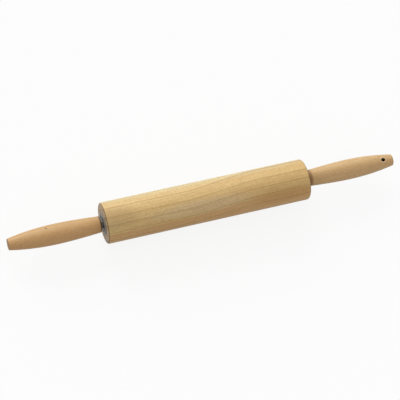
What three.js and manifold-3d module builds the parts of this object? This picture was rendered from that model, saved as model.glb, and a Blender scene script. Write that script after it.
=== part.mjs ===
// A wooden rolling pin whose barrel turns on two cup-and-cone ball bearings.
// Millimetres, +Z up, the pin lies along X on the underside of its barrel, and z = 0 is the table.
import * as THREE from "three";
import { mergeVertices } from "three/addons/utils/BufferGeometryUtils.js";
import Module from "manifold-3d";

const wasm = await Module();
wasm.setup();

// Barrel
const BARREL_LENGTH = 330;
const BARREL_RADIUS = 32.5;
const BARREL_EDGE_RADIUS = 3;
const BARREL_BORE_RADIUS = 6;
const BARREL_SIDES = 48;

// Axle rod
const ROD_RADIUS = 4;
const ROD_DEPTH_IN_HANDLE = 95;
const ROD_CHAMFER = 0.8;

// Turned handles: the outline swells from the neck to the belly and falls to a flat tip
const HANDLE_LENGTH = 145;
const HANDLE_NECK_RADIUS = 12.6;
const HANDLE_BELLY_RADIUS = 16;
const HANDLE_TIP_RADIUS = 8.9;
const HANDLE_BELLY_AT = 68;
const NECK_FULLNESS = 1.6;
const TIP_FULLNESS = 2.1;
const NECK_EDGE_RADIUS = 1.2;
const TIP_EDGE_RADIUS = 1.5;
const HANDLE_STATIONS = 14;
const HANDLE_CLEARANCE = 3.8;
const DRILL_POINT = 2.4;

// Hanging hole, drilled through one handle
const HANG_HOLE_RADIUS = 3;
const HANG_HOLE_FROM_TIP = 17.5;

// Bearing: a full set of loose balls between a pressed cup and a cone on the rod
const BALL_RADIUS = 2.38;
const BALL_COUNT = 12;
const BALL_SPACING = 0.22;
const BALL_PLAY = 0.25;
const BALL_DEPTH = 5;
const CUP_WALL = 1.5;
const CUP_FLANGE_WIDTH = 3.25;
const CUP_FLANGE_THICKNESS = 1.2;
const CUP_FLANGE_EDGE_RADIUS = 0.7;
const CUP_MOUTH_RADIUS = 0.4;
const CUP_FLOOR_HOLE_CLEARANCE = 0.9;
const CONE_LIP = 1.2;
const CONE_LIP_THICKNESS = 2.5;
const CONE_TAIL = 2.3;
const DUST_WASHER_THICKNESS = 1;
const DUST_WASHER_CLEARANCE = 0.5;

// Jam nut that locks the cone, and the threaded insert that the handle screws on by
const NUT_ACROSS_FLATS = 13;
const NUT_THICKNESS = 4.8;
const NUT_CHAMFER = 0.7;
const NUT_POCKET_CLEARANCE = 0.5;
const INSERT_RADIUS = 6.2;
const INSERT_LENGTH = 20;
const INSERT_GROOVES = 2;
const INSERT_GROOVE_DEPTH = 0.5;

// Clearance between pieces that are seated on each other
const SEAT_GAP = 0.2;

// Facets round each kind of turned piece
const HANDLE_SIDES = 32;
const BEARING_SIDES = 32;
const ROD_SIDES = 20;
const HOLE_SIDES = 16;
const BALL_SIDES = 8;
const BALL_RINGS = 6;
const ARC_STEPS = 3;

const HALF_TURN = Math.PI;
const QUARTER_TURN = Math.PI / 2;
const HALF_BARREL = BARREL_LENGTH / 2;

// The barrel rests on the flat of one facet, which lies a little nearer to the axis than its corners do.
const AXIS_HEIGHT = BARREL_RADIUS * Math.cos(Math.PI / BARREL_SIDES);

// Sizes that follow from the driving ones.
// Places along the axis are measured outwards from the barrel's end face.
const rodHoleRadius = ROD_RADIUS + SEAT_GAP;
const pitchRadius = (BALL_RADIUS + BALL_SPACING / 2) / Math.sin(Math.PI / BALL_COUNT);
const trackRadius = BALL_RADIUS + BALL_PLAY;
const cupInnerRadius = pitchRadius + trackRadius;
const cupOuterRadius = cupInnerRadius + CUP_WALL;
const cupFlangeRadius = cupOuterRadius + CUP_FLANGE_WIDTH;
const cupFloor = -BALL_DEPTH - trackRadius;
const cupBack = cupFloor - CUP_WALL;
const flangeBack = SEAT_GAP;
const flangeFace = flangeBack + CUP_FLANGE_THICKNESS;
const coneHubRadius = pitchRadius - trackRadius;
const coneLipRadius = pitchRadius + CONE_LIP;
const coneFace = -BALL_DEPTH + trackRadius + CONE_LIP_THICKNESS;
const coneBack = -BALL_DEPTH - CONE_TAIL;
const washerBack = coneFace + SEAT_GAP;
const washerFace = washerBack + DUST_WASHER_THICKNESS;
const nutBack = washerFace + SEAT_GAP;
const nutFace = nutBack + NUT_THICKNESS;
const nutCornerRadius = NUT_ACROSS_FLATS / 2 / Math.cos(Math.PI / 6);
const handleNeck = flangeFace + HANDLE_CLEARANCE;
const handleTip = handleNeck + HANDLE_LENGTH;
const nutPocketEnd = nutFace + SEAT_GAP;
const insertBack = nutPocketEnd + SEAT_GAP;
const insertFace = insertBack + INSERT_LENGTH;
const rodEnd = handleNeck + ROD_DEPTH_IN_HANDLE;

const beech = new THREE.MeshStandardMaterial({ color: 0xd2ab74, roughness: 0.62, metalness: 0 });
const barrelWood = new THREE.MeshStandardMaterial({ color: 0xd8b982, roughness: 0.6, metalness: 0 });
const zincedSteel = new THREE.MeshStandardMaterial({ color: 0x8f949a, roughness: 0.38, metalness: 1 });
const brightSteel = new THREE.MeshStandardMaterial({ color: 0xb9bcc0, roughness: 0.22, metalness: 1 });
const brass = new THREE.MeshStandardMaterial({ color: 0xb08d4a, roughness: 0.35, metalness: 1 });

// A profile point: how far along the axis, and how far from it.
function at(along, radius) {
  return new THREE.Vector2(radius, along);
}

// Points of a round stretch of a profile.
// Angle 0 points outwards along the axis, and a quarter turn points away from it.
function arc(along, radius, arcRadius, from, to, steps = ARC_STEPS) {
  return Array.from({ length: steps + 1 }, (_, i) => {
    const angle = from + ((to - from) * i) / steps;
    return at(along + arcRadius * Math.cos(angle), radius + arcRadius * Math.sin(angle));
  });
}

// A solid turned about X, with a facet's flat underneath.
function turned(profile, sides) {
  return new THREE.LatheGeometry(profile, sides, Math.PI / sides).rotateZ(-QUARTER_TURN);
}

function turnedRing(profile, sides) {
  return turned([...profile, profile[0].clone()], sides);
}

function solidOf(geometry) {
  const bare = geometry.clone().deleteAttribute("normal").deleteAttribute("uv");
  const merged = mergeVertices(bare);
  const mesh = new wasm.Mesh({
    numProp: 3,
    vertProperties: new Float32Array(merged.attributes.position.array),
    triVerts: new Uint32Array(merged.index.array),
  });
  return new wasm.Manifold(mesh);
}

function geometryOf(solid) {
  const mesh = solid.getMesh();
  const geometry = new THREE.BufferGeometry();
  geometry.setAttribute("position", new THREE.BufferAttribute(mesh.vertProperties, 3));
  geometry.setIndex(new THREE.BufferAttribute(mesh.triVerts, 1));
  geometry.computeVertexNormals();
  return geometry;
}

function piece(name, geometry, material) {
  const mesh = new THREE.Mesh(geometry, material);
  mesh.name = name;
  return mesh;
}

// The barrel is a tube with a rounded rim and a pocket at each end for the bearing cup.
function barrel() {
  const pocketRadius = cupOuterRadius + SEAT_GAP;
  const pocketFloor = HALF_BARREL + cupBack - SEAT_GAP;
  const edge = BARREL_EDGE_RADIUS;
  const leftEnd = [
    at(-pocketFloor, BARREL_BORE_RADIUS),
    at(-pocketFloor, pocketRadius),
    at(-HALF_BARREL, pocketRadius),
    ...arc(-HALF_BARREL + edge, BARREL_RADIUS - edge, edge, HALF_TURN, QUARTER_TURN),
  ];
  const rightEnd = leftEnd.map((point) => at(-point.y, point.x)).reverse();
  return turnedRing([...leftEnd, ...rightEnd], BARREL_SIDES);
}

// One rod runs from handle to handle, with its ends chamfered.
function rod() {
  const end = HALF_BARREL + rodEnd;
  return turned(
    [
      at(-end, 0),
      at(-end, ROD_RADIUS - ROD_CHAMFER),
      at(-end + ROD_CHAMFER, ROD_RADIUS),
      at(end - ROD_CHAMFER, ROD_RADIUS),
      at(end, ROD_RADIUS - ROD_CHAMFER),
      at(end, 0),
    ],
    ROD_SIDES,
  );
}

// Pressed cup: a floor and wall joined by the ball track, and a flange that lies on the end grain.
function bearingCup() {
  const floorHole = coneHubRadius + CUP_FLOOR_HOLE_CLEARANCE;
  const edge = CUP_FLANGE_EDGE_RADIUS;
  const mouth = CUP_MOUTH_RADIUS;
  return turnedRing(
    [
      at(cupBack, floorHole),
      at(cupBack, cupOuterRadius),
      at(flangeBack, cupOuterRadius),
      at(flangeBack, cupFlangeRadius),
      ...arc(flangeFace - edge, cupFlangeRadius - edge, edge, QUARTER_TURN, 0),
      ...arc(flangeFace - mouth, cupInnerRadius + mouth, mouth, 0, -QUARTER_TURN),
      ...arc(-BALL_DEPTH, pitchRadius, trackRadius, QUARTER_TURN, HALF_TURN),
      at(cupFloor, floorHole),
    ],
    BEARING_SIDES,
  );
}

// Cone: a hub on the rod that flares into a lip behind the balls, with a round track between them.
function bearingCone() {
  return turnedRing(
    [
      at(coneBack, rodHoleRadius),
      at(coneBack, coneHubRadius),
      ...arc(-BALL_DEPTH, pitchRadius, trackRadius, -QUARTER_TURN, 0),
      at(coneFace - CONE_LIP_THICKNESS, coneLipRadius),
      at(coneFace, coneLipRadius),
      at(coneFace, rodHoleRadius),
    ],
    BEARING_SIDES,
  );
}

function bearingBall() {
  return new THREE.SphereGeometry(BALL_RADIUS, BALL_SIDES, BALL_RINGS);
}

// Thin washer that closes the mouth of the cup and turns with the rod.
function dustWasher() {
  const outer = cupInnerRadius - DUST_WASHER_CLEARANCE;
  const edge = DUST_WASHER_THICKNESS / 2;
  return turnedRing(
    [
      at(washerBack, rodHoleRadius),
      ...arc(washerBack + edge, outer - edge, edge, HALF_TURN, 0),
      at(washerFace, rodHoleRadius),
    ],
    BEARING_SIDES,
  );
}

// Hexagon nut: a drilled prism, with its corners turned off by a cone at each face.
function jamNut() {
  const outline = new THREE.Shape();
  for (let corner = 0; corner < 6; corner++) {
    const angle = (corner * Math.PI) / 3;
    const point = new THREE.Vector2(Math.cos(angle), Math.sin(angle)).multiplyScalar(nutCornerRadius);
    if (corner === 0) outline.moveTo(point.x, point.y);
    else outline.lineTo(point.x, point.y);
  }
  outline.closePath();
  outline.holes.push(new THREE.Path().absarc(0, 0, rodHoleRadius, 0, 2 * Math.PI, true));
  const prism = new THREE.ExtrudeGeometry(outline, {
    depth: NUT_THICKNESS,
    bevelEnabled: false,
    curveSegments: ROD_SIDES,
  });
  prism.rotateY(QUARTER_TURN).translate(nutBack, 0, 0);
  const faceRadius = nutCornerRadius - NUT_CHAMFER;
  const bulge = nutCornerRadius + NUT_CHAMFER;
  const chamfer = turned(
    [
      at(nutBack, 0),
      at(nutBack, faceRadius),
      at((nutBack + nutFace) / 2, bulge),
      at(nutFace, faceRadius),
      at(nutFace, 0),
    ],
    ROD_SIDES,
  );
  return geometryOf(solidOf(prism).intersect(solidOf(chamfer)));
}

// Threaded insert: a sleeve with grooves that grip the wood.
function threadedInsert() {
  const grooveRadius = INSERT_RADIUS - INSERT_GROOVE_DEPTH;
  const pitch = INSERT_LENGTH / (2 * INSERT_GROOVES + 1);
  const outside = [];
  for (let band = 0; band <= 2 * INSERT_GROOVES; band++) {
    const radius = band % 2 === 0 ? INSERT_RADIUS : grooveRadius;
    outside.push(at(insertBack + band * pitch, radius), at(insertBack + (band + 1) * pitch, radius));
  }
  return turnedRing([at(insertBack, rodHoleRadius), ...outside, at(insertFace, rodHoleRadius)], ROD_SIDES);
}

// Radius of the turned handle at a distance from its neck.
function handleRadius(fromNeck) {
  const towardsTip = fromNeck > HANDLE_BELLY_AT;
  const end = towardsTip ? HANDLE_TIP_RADIUS : HANDLE_NECK_RADIUS;
  const span = towardsTip ? HANDLE_LENGTH - HANDLE_BELLY_AT : HANDLE_BELLY_AT;
  const fullness = towardsTip ? TIP_FULLNESS : NECK_FULLNESS;
  const share = Math.abs(fromNeck - HANDLE_BELLY_AT) / span;
  return HANDLE_BELLY_RADIUS - (HANDLE_BELLY_RADIUS - end) * share ** fullness;
}

// Handle: drilled from the neck for the nut, the insert and the rod, and left solid at the tip.
function handle() {
  const insertHole = INSERT_RADIUS + SEAT_GAP;
  const insertHoleEnd = insertFace + SEAT_GAP;
  const nutPocket = nutCornerRadius + NUT_POCKET_CLEARANCE;
  const rodHoleEnd = rodEnd + SEAT_GAP;
  const first = NECK_EDGE_RADIUS;
  const last = HANDLE_LENGTH - TIP_EDGE_RADIUS;
  const outline = Array.from({ length: HANDLE_STATIONS }, (_, i) => {
    const fromNeck = first + ((last - first) * i) / (HANDLE_STATIONS - 1);
    return at(handleNeck + fromNeck, handleRadius(fromNeck));
  });
  const neckEdge = arc(
    handleNeck + first,
    handleRadius(first) - NECK_EDGE_RADIUS,
    NECK_EDGE_RADIUS,
    HALF_TURN,
    QUARTER_TURN,
  );
  const tipEdge = arc(
    handleNeck + last,
    handleRadius(last) - TIP_EDGE_RADIUS,
    TIP_EDGE_RADIUS,
    QUARTER_TURN,
    0,
  );
  return turned(
    [
      at(rodHoleEnd + DRILL_POINT, 0),
      at(rodHoleEnd, rodHoleRadius),
      at(insertHoleEnd, rodHoleRadius),
      at(insertHoleEnd, insertHole),
      at(nutPocketEnd, insertHole),
      at(nutPocketEnd, nutPocket),
      at(handleNeck, nutPocket),
      ...neckEdge,
      ...outline.slice(1, -1),
      ...tipEdge,
      at(handleTip, 0),
    ],
    HANDLE_SIDES,
  );
}

// The same handle with the hanging hole drilled straight down through its tip.
function handleWithHangingHole() {
  const drill = new THREE.CylinderGeometry(
    HANG_HOLE_RADIUS,
    HANG_HOLE_RADIUS,
    4 * HANDLE_BELLY_RADIUS,
    HOLE_SIDES,
  );
  drill.rotateX(QUARTER_TURN).translate(handleTip - HANG_HOLE_FROM_TIP, 0, 0);
  return geometryOf(solidOf(handle()).subtract(solidOf(drill)));
}

// Everything at one end of the barrel, with +X outwards and the end face at x = 0.
function endAssembly(side, handleGeometry) {
  const group = new THREE.Group();
  group.add(
    piece(`${side}_bearing_cup`, bearingCup(), zincedSteel),
    piece(`${side}_bearing_cone`, bearingCone(), brightSteel),
    piece(`${side}_dust_washer`, dustWasher(), zincedSteel),
    piece(`${side}_jam_nut`, jamNut(), zincedSteel),
    piece(`${side}_threaded_insert`, threadedInsert(), brass),
    piece(`${side}_handle`, handleGeometry, beech),
  );
  for (let i = 0; i < BALL_COUNT; i++) {
    const angle = (2 * Math.PI * i) / BALL_COUNT;
    const ball = piece(`${side}_ball_${i + 1}`, bearingBall(), brightSteel);
    ball.position.set(-BALL_DEPTH, pitchRadius * Math.sin(angle), pitchRadius * Math.cos(angle));
    group.add(ball);
  }
  return group;
}

const rollingPin = new THREE.Group();
rollingPin.add(piece("barrel", barrel(), barrelWood), piece("axle_rod", rod(), brightSteel));

const rightEnd = endAssembly("right", handleWithHangingHole());
rightEnd.position.x = HALF_BARREL;
rollingPin.add(rightEnd);

const leftEnd = endAssembly("left", handle());
leftEnd.position.x = -HALF_BARREL;
leftEnd.rotation.z = HALF_TURN;
rollingPin.add(leftEnd);

for (const child of rollingPin.children) child.position.z = AXIS_HEIGHT;

export default rollingPin;
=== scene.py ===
"""Looks of a wooden rolling pin with ball bearings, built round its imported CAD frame. Metres, +Z up."""

import math
from typing import NamedTuple

import bmesh
import bpy
from mathutils import Matrix, Vector

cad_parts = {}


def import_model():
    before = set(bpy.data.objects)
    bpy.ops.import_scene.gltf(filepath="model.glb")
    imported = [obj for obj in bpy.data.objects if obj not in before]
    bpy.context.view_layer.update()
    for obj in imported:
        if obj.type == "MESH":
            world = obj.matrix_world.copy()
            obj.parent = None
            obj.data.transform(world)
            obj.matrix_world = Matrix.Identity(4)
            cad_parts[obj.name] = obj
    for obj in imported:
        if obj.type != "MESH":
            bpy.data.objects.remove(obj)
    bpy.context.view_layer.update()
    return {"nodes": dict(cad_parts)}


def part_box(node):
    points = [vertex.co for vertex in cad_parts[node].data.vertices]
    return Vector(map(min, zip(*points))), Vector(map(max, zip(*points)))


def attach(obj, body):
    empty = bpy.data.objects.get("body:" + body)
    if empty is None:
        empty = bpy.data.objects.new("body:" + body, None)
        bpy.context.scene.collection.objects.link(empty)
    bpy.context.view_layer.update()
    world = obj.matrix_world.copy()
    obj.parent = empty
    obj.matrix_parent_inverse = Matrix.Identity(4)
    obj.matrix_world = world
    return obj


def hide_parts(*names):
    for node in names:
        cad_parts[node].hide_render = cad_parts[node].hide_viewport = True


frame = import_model()
nodes = frame["nodes"]

MM = 0.001

# Barrel
BARREL_EDGE = 3 * MM
BARREL_BORE_RADIUS = 6 * MM
SEAT_GAP = 0.2 * MM

# Handles: the outline swells from the neck to the belly and falls to a flat tip
HANDLE_NECK_RADIUS = 12.6 * MM
HANDLE_BELLY_RADIUS = 16 * MM
HANDLE_TIP_RADIUS = 8.9 * MM
HANDLE_BELLY_AT = 68 * MM
NECK_FULLNESS = 1.6
TIP_FULLNESS = 2.1
NECK_EDGE = 1.2 * MM
TIP_EDGE = 1.5 * MM
NUT_POCKET_CLEARANCE = 0.5 * MM
DRILL_POINT = 2.4 * MM

# Hanging hole, straight down through one handle: its faces take the handle's second material
HANG_HOLE_SIDE = "right"
HANG_HOLE_RADIUS = 3 * MM
HANG_HOLE_CHAMFER = 1 * MM
HANG_HOLE_FROM_TIP = 17.5 * MM
BORE_MATERIAL = 1

# Bearings
BALLS_PER_SIDE = 12
BALL_PLAY = 0.25 * MM
CUP_WALL = 1.5 * MM
CUP_FLANGE_THICKNESS = 1.2 * MM
CUP_FLANGE_EDGE = 0.7 * MM
CUP_MOUTH_EDGE = 0.4 * MM
CUP_FLOOR_HOLE_RADIUS = 7.9 * MM

# How finely the smooth pieces are made
SEGMENTS = 160
HOLE_SEGMENTS = 64
ARC_STEPS = 10
HANDLE_STATIONS = 90
BALL_SUBDIVISIONS = 3
SMOOTH_ANGLE = math.radians(32)

# Places taken from the frame
barrel_low, barrel_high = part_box("barrel")
HALF_BARREL = barrel_high.x
AXIS_HEIGHT = (barrel_low.z + barrel_high.z) / 2
AXIS = Vector((0, 0, AXIS_HEIGHT))
ALONG = Vector((1, 0, 0))
HANDLE_NECK, HANDLE_TIP = (corner.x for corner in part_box("right_handle"))
HANDLE_LENGTH = HANDLE_TIP - HANDLE_NECK
HANG_HOLE_AT = HANDLE_TIP - HANG_HOLE_FROM_TIP

# Where each end's pieces go: their profiles count outwards from the middle of the barrel
PLACES = {
    "left": Matrix.Translation(AXIS) @ Matrix.Rotation(math.pi, 4, "Z"),
    "right": Matrix.Translation(AXIS),
}

# Directions in the photograph, where the hanging hole points a little above the line of sight
HOLE_LEAN = math.radians(14.7)
PICTURE_UP = Vector((0, math.cos(HOLE_LEAN), math.sin(HOLE_LEAN)))
PICTURE_NEAR = Vector((0, -math.sin(HOLE_LEAN), math.cos(HOLE_LEAN)))


# Measures


def from_axis(point):
    return (Vector(point) - AXIS).yz.length


def turned_radius(node):
    """The largest distance of a CAD node's corners from the axis."""
    return max(from_axis(corner.co) for corner in nodes[node].data.vertices)


def hole_for(node, clearance=SEAT_GAP):
    """The end and the radius of the hole that a piece sits in."""
    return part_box(node)[1].x + SEAT_GAP, turned_radius(node) + clearance


def handle_radius(from_neck):
    towards_tip = from_neck > HANDLE_BELLY_AT
    end_radius = HANDLE_TIP_RADIUS if towards_tip else HANDLE_NECK_RADIUS
    span = HANDLE_LENGTH - HANDLE_BELLY_AT if towards_tip else HANDLE_BELLY_AT
    fullness = TIP_FULLNESS if towards_tip else NECK_FULLNESS
    share = abs(from_neck - HANDLE_BELLY_AT) / span
    return HANDLE_BELLY_RADIUS - (HANDLE_BELLY_RADIUS - end_radius) * share**fullness


def ball_centre(node):
    low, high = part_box(node)
    return (low + high) / 2


def ball_radius(node):
    low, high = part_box(node)
    return (high.x - low.x) / 2


def cup_inner_radius():
    return from_axis(ball_centre("right_ball_1")) + ball_radius("right_ball_1") + BALL_PLAY


# Shapes


def arc(along, radius, arc_radius, start, end):
    """A round stretch of a profile: points (along the axis, out from it), with angles in degrees."""
    points = []
    for step in range(ARC_STEPS + 1):
        angle = math.radians(start + (end - start) * step / ARC_STEPS)
        points.append((along + arc_radius * math.cos(angle), radius + arc_radius * math.sin(angle)))
    return points


def mesh_object(name, mesh):
    """A smooth object with its real edges kept sharp."""
    data = bpy.data.meshes.new(name)
    mesh.to_mesh(data)
    mesh.free()
    data.shade_smooth()
    data.set_sharp_from_angle(angle=SMOOTH_ANGLE)
    piece = bpy.data.objects.new(name, data)
    bpy.context.scene.collection.objects.link(piece)
    return piece


def turned(name, profile, place, closed=False, segments=SEGMENTS):
    """A solid turned about X and put in its place. An open profile starts and ends on the axis.

    A point on the axis is a ring of one corner, so the faces that meet it are triangles."""
    mesh = bmesh.new()
    rings = []
    for along, radius in profile:
        count = segments if radius else 1
        angles = [2 * math.pi * i / count for i in range(count)]
        points = [(along, radius * math.sin(angle), radius * math.cos(angle)) for angle in angles]
        rings.append([mesh.verts.new(place @ Vector(point)) for point in points])
    spans = list(zip(rings, rings[1:]))
    if closed:
        spans.append((rings[-1], rings[0]))
    for first, second in spans:
        for i in range(segments):
            j = (i + 1) % segments
            picks = ((first, i), (first, j), (second, j), (second, i))
            corners = [ring[k % len(ring)] for ring, k in picks]
            mesh.faces.new(dict.fromkeys(corners))
    bmesh.ops.recalc_face_normals(mesh, faces=mesh.faces)
    return mesh_object(name, mesh)


def smooth_barrel():
    radius = turned_radius("barrel")
    cup_outer_radius = cup_inner_radius() + CUP_WALL
    pocket_radius = cup_outer_radius + SEAT_GAP
    pocket_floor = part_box("right_bearing_cup")[0].x - SEAT_GAP
    right = [
        *arc(HALF_BARREL - BARREL_EDGE, radius - BARREL_EDGE, BARREL_EDGE, 90, 0),
        (HALF_BARREL, pocket_radius),
        (pocket_floor, pocket_radius),
        (pocket_floor, BARREL_BORE_RADIUS),
    ]
    left = [(-along, out) for along, out in reversed(right)]
    return turned("smooth_barrel", left + right, PLACES["right"], closed=True)


def drill_hanging_hole(handle):
    """Cuts the hole, with a chamfer at both mouths, and gives the faces of its bore their own material.

    The drill is turned by half a facet, which keeps its edges off the handle's own edges."""
    mouth = handle_radius(HANDLE_LENGTH - HANG_HOLE_FROM_TIP)
    straight = mouth - HANG_HOLE_CHAMFER
    reach = mouth + HANG_HOLE_CHAMFER
    flare = HANG_HOLE_RADIUS + reach - straight
    profile = [
        (-reach, 0),
        (-reach, flare),
        (-straight, HANG_HOLE_RADIUS),
        (straight, HANG_HOLE_RADIUS),
        (reach, flare),
        (reach, 0),
    ]
    upright = Matrix.Rotation(-math.pi / 2, 4, "Y") @ Matrix.Rotation(math.pi / HOLE_SEGMENTS, 4, "X")
    place = Matrix.Translation(AXIS + ALONG * HANG_HOLE_AT) @ upright
    drill = turned("drill", profile, place, segments=HOLE_SEGMENTS)
    cut = handle.modifiers.new("hanging_hole", "BOOLEAN")
    cut.operation = "DIFFERENCE"
    cut.object = drill
    evaluated = handle.evaluated_get(bpy.context.evaluated_depsgraph_get())
    drilled = bpy.data.meshes.new_from_object(evaluated)
    handle.modifiers.remove(cut)
    handle.data = drilled
    drilled.set_sharp_from_angle(angle=SMOOTH_ANGLE)
    bpy.data.objects.remove(drill)
    for face in drilled.polygons:
        if (face.center - place.translation).xy.length < HANG_HOLE_RADIUS:
            face.material_index = BORE_MATERIAL


def smooth_handle(side):
    nut_end, nut_radius = hole_for("right_jam_nut", NUT_POCKET_CLEARANCE)
    insert_end, insert_radius = hole_for("right_threaded_insert")
    rod_end, rod_radius = hole_for("axle_rod")
    first, last = NECK_EDGE, HANDLE_LENGTH - TIP_EDGE
    stations = [first + (last - first) * i / HANDLE_STATIONS for i in range(1, HANDLE_STATIONS)]
    profile = [
        (rod_end + DRILL_POINT, 0),
        (rod_end, rod_radius),
        (insert_end, rod_radius),
        (insert_end, insert_radius),
        (nut_end, insert_radius),
        (nut_end, nut_radius),
        (HANDLE_NECK, nut_radius),
        *arc(HANDLE_NECK + first, handle_radius(first) - NECK_EDGE, NECK_EDGE, 180, 90),
        *((HANDLE_NECK + station, handle_radius(station)) for station in stations),
        *arc(HANDLE_NECK + last, handle_radius(last) - TIP_EDGE, TIP_EDGE, 90, 0),
        (HANDLE_TIP, 0),
    ]
    handle = turned(f"smooth_{side}_handle", profile, PLACES[side])
    if side == HANG_HOLE_SIDE:
        drill_hanging_hole(handle)
    return handle


def smooth_cup(side):
    back, face = (corner.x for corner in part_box("right_bearing_cup"))
    flange_radius = turned_radius("right_bearing_cup")
    flange_back = face - CUP_FLANGE_THICKNESS
    inner = cup_inner_radius()
    outer = inner + CUP_WALL
    ball = ball_centre("right_ball_1")
    track = ball_radius("right_ball_1") + BALL_PLAY
    profile = [
        (back, CUP_FLOOR_HOLE_RADIUS),
        (back, outer),
        (flange_back, outer),
        (flange_back, flange_radius),
        *arc(face - CUP_FLANGE_EDGE, flange_radius - CUP_FLANGE_EDGE, CUP_FLANGE_EDGE, 90, 0),
        *arc(face - CUP_MOUTH_EDGE, inner + CUP_MOUTH_EDGE, CUP_MOUTH_EDGE, 0, -90),
        *arc(ball.x, from_axis(ball), track, 90, 180),
        (back + CUP_WALL, CUP_FLOOR_HOLE_RADIUS),
    ]
    return turned(f"smooth_{side}_bearing_cup", profile, PLACES[side], closed=True)


def smooth_washer(side):
    back, face = (corner.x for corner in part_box("right_dust_washer"))
    edge = (face - back) / 2
    rim = turned_radius("right_dust_washer") - edge
    hole = turned_radius("axle_rod") + SEAT_GAP
    profile = [(back, hole), *arc(back + edge, rim, edge, 180, 0), (face, hole)]
    return turned(f"smooth_{side}_dust_washer", profile, PLACES[side], closed=True)


def smooth_ball(node):
    mesh = bmesh.new()
    place = Matrix.Translation(ball_centre(node))
    radius = ball_radius(node)
    bmesh.ops.create_icosphere(mesh, subdivisions=BALL_SUBDIVISIONS, radius=radius, matrix=place)
    return mesh_object(f"smooth_{node}", mesh)


# Materials


def srgb(red, green, blue):
    """A colour given in display values from 0 to 255."""

    def linear(value):
        share = value / 255
        return share / 12.92 if share <= 0.04045 else ((share + 0.055) / 1.055) ** 2.4

    return (linear(red), linear(green), linear(blue), 1.0)


class Noise(NamedTuple):
    """A layer of noise: cells per metre along each axis, detail, the range it fades over, and depth."""

    scale: tuple
    detail: float
    low: float
    high: float
    depth: float = 1.0


class Patch(NamedTuple):
    """A soft spot of another colour, with half its size along X, Y and Z."""

    middle: Vector
    half_size: Vector
    colour: tuple
    depth: float


class Sweep(NamedTuple):
    """The stretch of the axis along which the grain climbs in the picture, and how far it climbs."""

    start: float
    end: float
    rise: float


class Heart(NamedTuple):
    """The heartwood inside a distance from the pith."""

    radius: float
    colour: tuple
    depth: float


# Growth rings. A wave of scale 1 goes through WAVE_UNIT radians per metre
WAVE_UNIT = 20
RING_STRETCH = 0.05
RING_WANDER = 1.4
RING_WANDER_DETAIL = 2.0
RING_WANDER_SCALE = 0.9
FINE_RINGS = 3
LATE_WOOD_START = 0.3
LATE_WOOD_SHARE = 0.16
RING_EDGE_START = 0.86
FINE_EDGE_START = 0.7
FINE_EDGE_SHARE = 0.25
HEART_EDGE = 1 * MM

# Figure between the rings
NOISE_ROUGHNESS = 0.55
TINT = Noise(scale=(2.0, 34.0, 34.0), detail=2.0, low=0.35, high=0.65)
FLECKS = Noise(scale=(260.0, 620.0, 620.0), detail=2.0, low=0.4, high=0.7, depth=0.29)
FIBRES = Noise(scale=(22.0, 900.0, 900.0), detail=4.0, low=0.3, high=0.75, depth=0.24)
PORES = Noise(scale=(130.0, 1900.0, 1900.0), detail=1.0, low=0.66, high=0.74, depth=0.3)

# Rims and faces cut across the grain, told by how far the surface faces along the axis
RIM_START = 0.45
RIM_END = 0.7
RIM_DEPTH = 0.72
END_GRAIN_START = 0.93
END_GRAIN_END = 0.995
END_GRAIN_DEPTH = 0.9
CUT_COLOUR = srgb(104, 80, 50)
CUT_RING_DEPTH = 0.4
CUT_FINE_RING_DEPTH = 0.22
CUT_PORES = Noise(scale=(1100.0, 1100.0, 1100.0), detail=2.0, low=0.45, high=0.75, depth=0.45)

# Surface of the wood, which is rougher where its fibres are darker
BUMP_STRENGTH = 0.25
BUMP_DEPTH = 0.05 * MM
FIBRE_SPREAD = (0.2, 0.8)
WOOD_ROUGHNESS = (0.46, 0.6)
WOOD_SPECULAR = 0.35
BORE_SPECULAR = 0.05

# Smears on the metal
SMEARS = Noise(scale=(160.0, 160.0, 160.0), detail=3.0, low=0.3, high=0.7)


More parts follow.
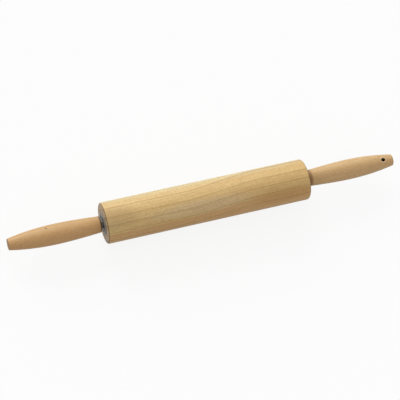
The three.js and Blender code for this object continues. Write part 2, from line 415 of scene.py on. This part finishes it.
class Graph:
    """Short calls for adding and joining the nodes of a material or a world."""

    def __init__(self, owner):
        self.tree = owner.node_tree

    def add(self, kind, inputs=(), **settings):
        node = self.tree.nodes.new(kind)
        for name, value in settings.items():
            setattr(node, name, value)
        self.fill(node, dict(inputs))
        return node

    def fill(self, node, inputs):
        for name, value in inputs.items():
            self.put(node.inputs[name], value)

    def put(self, socket, value):
        if isinstance(value, bpy.types.NodeSocket):
            self.tree.links.new(value, socket)
        else:
            socket.default_value = value

    def math(self, operation, first, second=0.0):
        return self.add("ShaderNodeMath", {0: first, 1: second}, operation=operation).outputs[0]

    def vector(self, operation, first, second):
        return self.add("ShaderNodeVectorMath", {0: first, 1: second}, operation=operation).outputs[0]

    def scaled(self, vector, scale):
        return self.vector("MULTIPLY", vector, scale)

    def times(self, vector, number):
        inputs = {0: vector, "Scale": number}
        return self.add("ShaderNodeVectorMath", inputs, operation="SCALE").outputs[0]

    def length(self, vector):
        return self.add("ShaderNodeVectorMath", {0: vector}, operation="LENGTH").outputs["Value"]

    def along_axis(self, vector):
        return self.add("ShaderNodeSeparateXYZ", {"Vector": vector}).outputs["X"]

    def ranged(self, value, low, high, to_low=0.0, to_high=1.0, smooth="SMOOTHSTEP"):
        inputs = {"Value": value, "From Min": low, "From Max": high, "To Min": to_low, "To Max": to_high}
        return self.add("ShaderNodeMapRange", inputs, interpolation_type=smooth).outputs[0]

    def noise(self, place, layer):
        inputs = {
            "Vector": self.scaled(place, layer.scale),
            "Scale": 1.0,
            "Detail": layer.detail,
            "Roughness": NOISE_ROUGHNESS,
        }
        return self.add("ShaderNodeTexNoise", inputs).outputs["Fac"]

    def faded(self, noise, layer):
        return self.ranged(noise, layer.low, layer.high, 0.0, layer.depth)

    def mix(self, factor, first, second):
        node = self.add("ShaderNodeMix", data_type="RGBA")
        colours = [socket for socket in node.inputs if socket.type == "RGBA"]
        self.put(node.inputs["Factor"], factor)
        self.put(colours[0], first)
        self.put(colours[1], second)
        return next(socket for socket in node.outputs if socket.type == "RGBA")


def new_material(name):
    material = bpy.data.materials.new(name)
    material.use_nodes = True
    return material


def shader_of(material):
    return material.node_tree.nodes["Principled BSDF"]


def growth_rings(graph, place, spacing):
    """From 0 at the start of each ring to 1 at its outer edge."""
    inputs = {
        "Vector": place,
        "Scale": 2 * math.pi / (WAVE_UNIT * spacing),
        "Distortion": RING_WANDER,
        "Detail": RING_WANDER_DETAIL,
        "Detail Scale": RING_WANDER_SCALE,
    }
    settings = {"wave_type": "RINGS", "rings_direction": "X", "wave_profile": "SAW"}
    return graph.add("ShaderNodeTexWave", inputs, **settings).outputs["Fac"]


def from_pith(graph, place, pith, sweep):
    """Where a point lies from the pith, with the climb of the grain taken off."""
    climb = graph.ranged(graph.along_axis(place), sweep.start, sweep.end, 0.0, sweep.rise)
    lowered = graph.vector("SUBTRACT", place, graph.times(PICTURE_UP, climb))
    return graph.vector("SUBTRACT", lowered, pith)


def patched(graph, place, colour, patches):
    """Lays soft spots of other colours over a colour."""
    for patch in patches:
        offset = graph.vector("SUBTRACT", place, patch.middle)
        far = graph.length(graph.vector("DIVIDE", offset, patch.half_size))
        depth = graph.ranged(far, PATCH_CORE, 1.0, patch.depth, 0.0)
        colour = graph.mix(depth, colour, patch.colour)
    return colour


def cut_wood(graph, place, colour, rings, fine_rings):
    """The colour of a face cut across the grain, with its rings and pores."""
    depths = (
        graph.ranged(rings, LATE_WOOD_START, 1.0, 0.0, CUT_RING_DEPTH),
        graph.ranged(fine_rings, LATE_WOOD_START, 1.0, 0.0, CUT_FINE_RING_DEPTH),
        graph.faded(graph.noise(place, CUT_PORES), CUT_PORES),
    )
    for depth in depths:
        colour = graph.mix(depth, colour, CUT_COLOUR)
    return colour


def wood(
    name,
    pale,
    deep,
    line,
    end_grain,
    ring_spacing,
    ring_depth,
    pith,
    sweep,
    heart=None,
    tones=(),
    marks=(),
    specular=WOOD_SPECULAR,
):
    """Turned wood: growth rings about a far pith, flecks, fibres and pores, dark rims and end grain.

    pale and deep are the colours under its figure, and line is the colour of the figure itself.
    tones are soft spots under the figure, and marks are spots over it."""
    material = new_material(name)
    graph = Graph(material)
    coordinates = graph.add("ShaderNodeTexCoord").outputs
    place = coordinates["Object"]
    grown = from_pith(graph, place, pith, sweep)
    stretched = graph.scaled(grown, (RING_STRETCH, 1.0, 1.0))
    rings = growth_rings(graph, stretched, ring_spacing)
    fine_rings = growth_rings(graph, stretched, ring_spacing / FINE_RINGS)

    colour = graph.mix(graph.faded(graph.noise(grown, TINT), TINT), pale, deep)
    if heart:
        edges = (heart.radius - HEART_EDGE, heart.radius + HEART_EDGE)
        inside = graph.ranged(graph.length(stretched), *edges, heart.depth, 0.0)
        colour = graph.mix(inside, colour, heart.colour)
    colour = patched(graph, place, colour, tones)

    fibres = graph.noise(grown, FIBRES)
    figure = (
        graph.ranged(rings, LATE_WOOD_START, 1.0, 0.0, LATE_WOOD_SHARE * ring_depth, smooth="LINEAR"),
        graph.ranged(rings, RING_EDGE_START, 1.0, 0.0, ring_depth),
        graph.ranged(fine_rings, FINE_EDGE_START, 1.0, 0.0, FINE_EDGE_SHARE * ring_depth),
        graph.faded(graph.noise(grown, FLECKS), FLECKS),
        graph.faded(fibres, FIBRES),
        graph.faded(graph.noise(grown, PORES), PORES),
    )
    for depth in figure:
        colour = graph.mix(depth, colour, line)
    colour = patched(graph, place, colour, marks)

    facing = graph.math("ABSOLUTE", graph.along_axis(coordinates["Normal"]))
    rim = graph.ranged(facing, RIM_START, RIM_END, 0.0, RIM_DEPTH)
    colour = graph.mix(rim, colour, CUT_COLOUR)
    cut_across = graph.ranged(facing, END_GRAIN_START, END_GRAIN_END, 0.0, END_GRAIN_DEPTH)
    colour = graph.mix(cut_across, colour, cut_wood(graph, place, end_grain, rings, fine_rings))

    relief = {"Strength": BUMP_STRENGTH, "Distance": BUMP_DEPTH, "Height": fibres}
    bump = graph.add("ShaderNodeBump", relief)
    surface = {
        "Base Color": colour,
        "Roughness": graph.ranged(fibres, *FIBRE_SPREAD, *WOOD_ROUGHNESS),
        "Specular IOR Level": specular,
        "Normal": bump.outputs["Normal"],
    }
    graph.fill(shader_of(material), surface)
    return material


def metal(name, colour, roughness, spread, metallic=1.0):
    """Plated or polished metal whose gloss varies a little over the surface."""
    material = new_material(name)
    graph = Graph(material)
    smears = graph.noise(graph.add("ShaderNodeTexCoord").outputs["Object"], SMEARS)
    gloss = graph.ranged(smears, SMEARS.low, SMEARS.high, roughness - spread, roughness + spread)
    surface = {"Base Color": colour, "Metallic": metallic, "Roughness": gloss}
    graph.fill(shader_of(material), surface)
    return material


# Spots on the wood, of full depth in their core and fading from there to their edge

PATCH_CORE = 0.4
BARREL_SPOT_RADIUS = 32 * MM
# Painted sheen along the handles, on their lit upper side
HANDLE_SHEEN_AT = 240 * MM
HANDLE_SHEEN_RADIUS = 15 * MM
HANDLE_SHEEN_TURN = 60
HANDLE_SHEEN_SIZE = Vector((160, 22, 22)) * MM
NECK_SHADE_WIDTH = 40 * MM


def on_surface(along, radius, turn):
    """A point of a turned surface, so many degrees from its top towards the picture's upper side."""
    angle = math.radians(turn)
    return AXIS + Vector((along, radius * math.sin(angle), radius * math.cos(angle)))


def painted_handle_sheen(along, colour, depth):
    """Painted sheen: paler colour along a handle, on the picture's upper side, where the light falls."""
    middle = on_surface(along, HANDLE_SHEEN_RADIUS, HANDLE_SHEEN_TURN)
    return Patch(middle, HANDLE_SHEEN_SIZE, colour, depth)


def painted_neck_shade(side, reach, colour, depth):
    """Painted shade at the end of a handle's neck, where the barrel's rim and the gap beside it shade the
    wood.
    """
    middle = PLACES[side] @ Vector((HANDLE_NECK, 0, 0))
    return Patch(middle, Vector((reach, NECK_SHADE_WIDTH, NECK_SHADE_WIDTH)), colour, depth)


end_shade = Patch(
    middle=on_surface(-160 * MM, BARREL_SPOT_RADIUS, turn=-8),
    half_size=Vector((62, 24, 24)) * MM,
    colour=srgb(193, 163, 112),
    depth=0.8,
)
pale_streak = Patch(
    middle=on_surface(-12 * MM, BARREL_SPOT_RADIUS, turn=-28),
    half_size=Vector((105, 15, 15)) * MM,
    colour=srgb(217, 191, 149),
    depth=0.62,
)
brown_streak = Patch(
    middle=on_surface(118 * MM, BARREL_SPOT_RADIUS, turn=-46),
    half_size=Vector((70, 17, 17)) * MM,
    colour=srgb(184, 138, 78),
    depth=0.5,
)
# Painted sheen: paler, greyer colour in a band along the barrel on the picture's upper side, where the
# light grazes it
painted_barrel_sheen = Patch(
    middle=on_surface(0, BARREL_SPOT_RADIUS, turn=75),
    half_size=Vector((400, 26, 26)) * MM,
    colour=srgb(219, 203, 156),
    depth=0.9,
)
dark_fleck = Patch(
    middle=on_surface(-254.8 * MM, radius=15.7 * MM, turn=32.8),
    half_size=Vector((2.4, 1.4, 1.4)) * MM,
    colour=srgb(72, 48, 27),
    depth=0.95,
)
pale_mouth = Patch(
    middle=on_surface(HANG_HOLE_AT, radius=12 * MM, turn=0),
    half_size=Vector((6.5, 6.5, 3)) * MM,
    colour=srgb(232, 203, 158),
    depth=0.7,
)


# Finishes


def pith_at(up, near):
    """The pith's place: so far from the axis up in the picture, and so far towards the viewer."""
    return AXIS + PICTURE_UP * up + PICTURE_NEAR * near


HANDLE_FIGURE = {
    "ring_spacing": 6 * MM,
    "ring_depth": 0.2,
    "sweep": Sweep(start=-500 * MM, end=500 * MM, rise=4 * MM),
}
HANDLE_LINES = {"line": srgb(160, 114, 66), "end_grain": srgb(172, 136, 98)}
RIGHT_HANDLE_PITH = pith_at(up=-70 * MM, near=-50 * MM)

barrel_wood = wood(
    "barrel_wood",
    pale=srgb(221, 190, 130),
    deep=srgb(212, 177, 117),
    line=srgb(146, 108, 58),
    end_grain=srgb(196, 171, 139),
    ring_spacing=12.6 * MM,
    ring_depth=0.5,
    pith=pith_at(up=-153.1 * MM, near=0),
    sweep=Sweep(start=-45 * MM, end=88 * MM, rise=8.5 * MM),
    heart=Heart(radius=135.5 * MM, colour=srgb(205, 160, 107), depth=0.8),
    tones=(end_shade, pale_streak, brown_streak, painted_barrel_sheen),
)
left_handle_wood = wood(
    "left_handle_wood",
    pale=srgb(199, 157, 106),
    deep=srgb(188, 144, 94),
    pith=pith_at(up=50 * MM, near=-60 * MM),
    tones=(painted_handle_sheen(-HANDLE_SHEEN_AT, srgb(198, 166, 114), depth=0.6),),
    marks=(dark_fleck, painted_neck_shade("left", 2.7 * MM, srgb(52, 31, 15), depth=0.9)),
    **HANDLE_LINES,
    **HANDLE_FIGURE,
)
right_handle_wood = wood(
    "right_handle_wood",
    pale=srgb(205, 170, 121),
    deep=srgb(195, 158, 109),
    pith=RIGHT_HANDLE_PITH,
    tones=(painted_handle_sheen(HANDLE_SHEEN_AT, srgb(209, 181, 132), depth=0.55),),
    marks=(painted_neck_shade("right", 8.5 * MM, srgb(112, 68, 6), depth=0.7), pale_mouth),
    **HANDLE_LINES,
    **HANDLE_FIGURE,
)
# Much darker than the handle: partly the rougher, darker grain inside a drilled hole and partly painted
# shade inside the hanging hole
painted_shade_bore_wood = wood(
    "painted_shade_bore_wood",
    pale=srgb(64, 42, 25),
    deep=srgb(52, 33, 19),
    line=srgb(36, 22, 12),
    end_grain=srgb(52, 33, 19),
    pith=RIGHT_HANDLE_PITH,
    specular=BORE_SPECULAR,
    **HANDLE_FIGURE,
)
plated_steel = metal("plated_steel", srgb(134, 131, 125), roughness=0.55, spread=0.06, metallic=0.45)
nut_steel = metal("nut_steel", srgb(118, 110, 100), roughness=0.66, spread=0.06, metallic=0.2)
bearing_steel = metal("bearing_steel", srgb(205, 207, 211), roughness=0.16, spread=0.04)
rod_steel = metal("rod_steel", srgb(190, 192, 196), roughness=0.28, spread=0.05)
insert_brass = metal("insert_brass", srgb(205, 170, 100), roughness=0.3, spread=0.05)


# Pieces

HANDLE_FINISHES = {"left": (left_handle_wood,), "right": (right_handle_wood, painted_shade_bore_wood)}


def dress(piece, node, body, slot, *materials):
    """Has the piece stand for a CAD node: it rides on that node's body and takes its finish."""
    for material in materials:
        piece.data.materials.append(material)
    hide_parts(node)
    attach(piece, body)


def finish_cad(node, material):
    """Gives a CAD node that stays in view its material and smooth shading."""
    data = nodes[node].data
    data.materials.clear()
    data.materials.append(material)
    data.shade_smooth()
    data.set_sharp_from_angle(angle=SMOOTH_ANGLE)


dress(smooth_barrel(), "barrel", "barrel", "barrel_wood", barrel_wood)
finish_cad("axle_rod", rod_steel)
for side in PLACES:
    dress(smooth_handle(side), f"{side}_handle", "axle", "handle_wood", *HANDLE_FINISHES[side])
    dress(smooth_cup(side), f"{side}_bearing_cup", "barrel", "plated_steel", plated_steel)
    dress(smooth_washer(side), f"{side}_dust_washer", "axle", "plated_steel", plated_steel)
    for number in range(1, BALLS_PER_SIDE + 1):
        node = f"{side}_ball_{number}"
        dress(smooth_ball(node), node, f"{side}_balls", "bearing_steel", bearing_steel)
    finish_cad(f"{side}_bearing_cone", bearing_steel)
    finish_cad(f"{side}_jam_nut", nut_steel)
    finish_cad(f"{side}_threaded_insert", insert_brass)


# Stage, light and camera

WHITE = (1.0, 1.0, 1.0, 1.0)
FLOOR_SIZE = 30
FLOOR_COLOUR = (0.9, 0.9, 0.9, 1.0)
FLOOR_BOUNCE = (0.5, 0.5, 0.5, 1.0)
FLOOR_GLOW = 0.86
KEY_STRENGTH = 2.08
KEY_SPREAD = math.radians(40)
KEY_FROM = PICTURE_UP * 0.98 + PICTURE_NEAR * 0.14 - ALONG * 0.12
WORLD_LIGHT = 0.7

# The right end turns away from the camera, and the barrel's axis slopes up to the right
VIEW_YAW = math.radians(13.91)
VIEW_SLOPE = math.radians(12.45)
VIEW_DISTANCE = 2.6
PIN_RIGHT_OF_MIDDLE = 8.1 * MM
PIN_BELOW_MIDDLE = 1.5 * MM
LENS = 150.3
SENSOR = 36


def seen_or_lighting(graph, seen, lighting):
    """One shader where a surface is seen, mirrored or seen through glass, and another for its light."""
    rays = graph.add("ShaderNodeLightPath").outputs
    mirrored = graph.math("MAXIMUM", rays["Is Glossy Ray"], rays["Is Transmission Ray"])
    directly = graph.math("MAXIMUM", rays["Is Camera Ray"], mirrored)
    inputs = {0: directly, 1: lighting.outputs[0], 2: seen.outputs[0]}
    return graph.add("ShaderNodeMixShader", inputs).outputs[0]


def floor():
    """A white floor that glows where it is seen, so that only a faint shadow stays on it."""
    mesh = bmesh.new()
    bmesh.ops.create_grid(mesh, x_segments=1, y_segments=1, size=FLOOR_SIZE / 2)
    plane = mesh_object("floor", mesh)
    plane.location.z = AXIS_HEIGHT - turned_radius("barrel")
    material = new_material("floor_white")
    graph = Graph(material)
    lighting = graph.add("ShaderNodeBsdfDiffuse", {"Color": FLOOR_BOUNCE})
    shaded = graph.add("ShaderNodeBsdfDiffuse", {"Color": FLOOR_COLOUR})
    glow = graph.add("ShaderNodeEmission", {"Color": WHITE, "Strength": 1.0})
    seen = graph.add("ShaderNodeMixShader", {0: FLOOR_GLOW, 1: shaded.outputs[0], 2: glow.outputs[0]})
    graph.tree.nodes.remove(shader_of(material))
    output = graph.tree.nodes["Material Output"]
    graph.fill(output, {"Surface": seen_or_lighting(graph, seen, lighting)})
    plane.data.materials.append(material)


def key_light():
    """A large, far and even light."""
    light = bpy.data.lights.new("key", "SUN")
    light.energy = KEY_STRENGTH
    light.angle = KEY_SPREAD
    lamp = bpy.data.objects.new("key", light)
    lamp.rotation_euler = KEY_FROM.to_track_quat("Z", "Y").to_euler()
    bpy.context.scene.collection.objects.link(lamp)


def world():
    """White where it is seen or mirrored, and softer as a light."""
    sky = bpy.data.worlds.new("studio")
    sky.use_nodes = True
    graph = Graph(sky)
    lighting = graph.add("ShaderNodeBackground", {"Color": WHITE, "Strength": WORLD_LIGHT})
    backdrop = graph.add("ShaderNodeBackground", {"Color": WHITE, "Strength": 1.0})
    output = graph.tree.nodes["World Output"]
    graph.fill(output, {"Surface": seen_or_lighting(graph, backdrop, lighting)})
    bpy.context.scene.world = sky


def camera():
    """The photograph's view of the pin."""
    ahead = ALONG * math.sin(VIEW_YAW) - PICTURE_NEAR * math.cos(VIEW_YAW)
    level = ALONG * math.cos(VIEW_YAW) + PICTURE_NEAR * math.sin(VIEW_YAW)
    right = level * math.cos(VIEW_SLOPE) - PICTURE_UP * math.sin(VIEW_SLOPE)
    up = level * math.sin(VIEW_SLOPE) + PICTURE_UP * math.cos(VIEW_SLOPE)
    data = bpy.data.cameras.new("camera")
    data.lens = LENS
    data.sensor_width = SENSOR
    eye = bpy.data.objects.new("camera", data)
    place = AXIS - right * PIN_RIGHT_OF_MIDDLE + up * PIN_BELOW_MIDDLE - ahead * VIEW_DISTANCE
    eye.matrix_world = Matrix.Translation(place) @ Matrix((right, up, -ahead)).transposed().to_4x4()
    bpy.context.scene.collection.objects.link(eye)
    bpy.context.scene.camera = eye


floor()
key_light()
world()
camera()
bpy.context.scene.view_settings.view_transform = "Standard"
